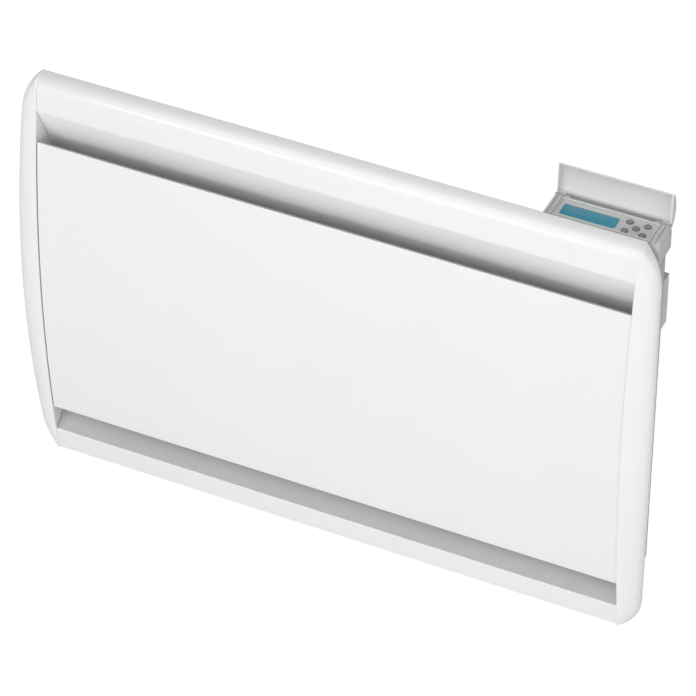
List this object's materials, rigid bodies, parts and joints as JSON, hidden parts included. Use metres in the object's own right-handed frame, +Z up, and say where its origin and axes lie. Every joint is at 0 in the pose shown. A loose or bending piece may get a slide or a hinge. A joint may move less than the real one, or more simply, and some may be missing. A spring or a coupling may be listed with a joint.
{
  "type": "wall panel convector heater",
  "caption": "Wall-hung electric panel convector with a bowed front, air slots above and below the panel, and a level keypad under a flip lid.",
  "frame": {"origin": "on the wall plane, at the middle of the back face of the wall bracket's upper rail", "axes": "+X along the heater to the controller's end, +Y into the wall, +Z up"},
  "size_m": [0.6126, 0.0878, 0.4549],
  "materials": {
    "white_enamel": "satin white enamel on steel sheet",
    "white_plastic": "satin white moulding",
    "bare_steel": "bright zinc plated",
    "galvanised_steel": "galvanised",
    "aluminium": "as cast",
    "ceramic": "glazed steatite",
    "grey_plastic": "fine spark-eroded moulding",
    "dark_grey_plastic": "fine matt moulding",
    "display_blue": "backlit blue display",
    "circuit_board": "green solder mask",
    "silicone": "matt silicone",
    "black_plastic": "matt",
    "brass": "turned",
    "red_wire": "silicone sleeved lead",
    "blue_wire": "silicone sleeved lead"
  },
  "bodies": {
    "bracket": {"bracket_upper_rail": "galvanised_steel", "bracket_lower_rail": "galvanised_steel", "bracket_left_upright": "galvanised_steel", "bracket_right_upright": "galvanised_steel"},
    "heater": {"front_panel": "white_enamel", "top_rail": "white_enamel", "bottom_rail": "white_enamel", "left_end_cap": "white_plastic", "right_end_cap": "white_plastic", "rear_casing": "white_enamel", "outlet_deflector": "white_enamel", "casing_screw_left_upper": "bare_steel", "casing_screw_left_lower": "bare_steel", "casing_screw_right_upper": "bare_steel", "casing_screw_right_lower": "bare_steel", "heat_shield": "bare_steel", "heating_element": "aluminium", "element_support_left": "galvanised_steel", "element_support_right": "galvanised_steel", "element_bush_left": "ceramic", "element_bush_right": "ceramic", "thermal_cutout": "black_plastic", "element_lead": "red_wire", "cutout_lead": "blue_wire", "earth_stud": "brass", "power_box": "grey_plastic", "power_board": "circuit_board", "power_relay": "black_plastic", "terminal_block": "white_plastic", "cable_gland": "grey_plastic", "box_screw_left": "bare_steel", "box_screw_right": "bare_steel", "room_sensor": "dark_grey_plastic", "controller_housing": "grey_plastic", "controller_bezel": "grey_plastic", "display_plate": "grey_plastic", "display_window": "display_blue", "display_module": "dark_grey_plastic", "switch_mat": "silicone", "control_board": "circuit_board"},
    "lid": {"controller_lid": "white_plastic", "hinge_pin_left": "bare_steel", "hinge_pin_right": "bare_steel"},
    "key_centre": {"button_centre": "dark_grey_plastic"},
    "key_rear_left": {"button_rear_left": "dark_grey_plastic"},
    "key_rear_right": {"button_rear_right": "dark_grey_plastic"},
    "key_front_left": {"button_front_left": "dark_grey_plastic"},
    "key_front_right": {"button_front_right": "dark_grey_plastic"}
  },
  "joints": [
    {"name": "heater_lift", "type": "slide", "parent": "bracket", "child": "heater", "axis": [0, 0, 1], "range_m": [0, 0.012]},
    {"name": "lid_hinge", "type": "hinge", "parent": "heater", "child": "lid", "pos_m": [0, -0.025, 0.0748], "axis": [1, 0, 0], "range_deg": [0, 92]},
    {"name": "press_centre", "type": "slide", "parent": "heater", "child": "key_centre", "axis": [0, 0, -1], "range_m": [0, 0.0008], "stiffness_N_per_m": 400},
    {"name": "press_rear_left", "type": "slide", "parent": "heater", "child": "key_rear_left", "axis": [0, 0, -1], "range_m": [0, 0.0008], "stiffness_N_per_m": 400},
    {"name": "press_rear_right", "type": "slide", "parent": "heater", "child": "key_rear_right", "axis": [0, 0, -1], "range_m": [0, 0.0008], "stiffness_N_per_m": 400},
    {"name": "press_front_left", "type": "slide", "parent": "heater", "child": "key_front_left", "axis": [0, 0, -1], "range_m": [0, 0.0008], "stiffness_N_per_m": 400},
    {"name": "press_front_right", "type": "slide", "parent": "heater", "child": "key_front_right", "axis": [0, 0, -1], "range_m": [0, 0.0008], "stiffness_N_per_m": 400}
  ]
}
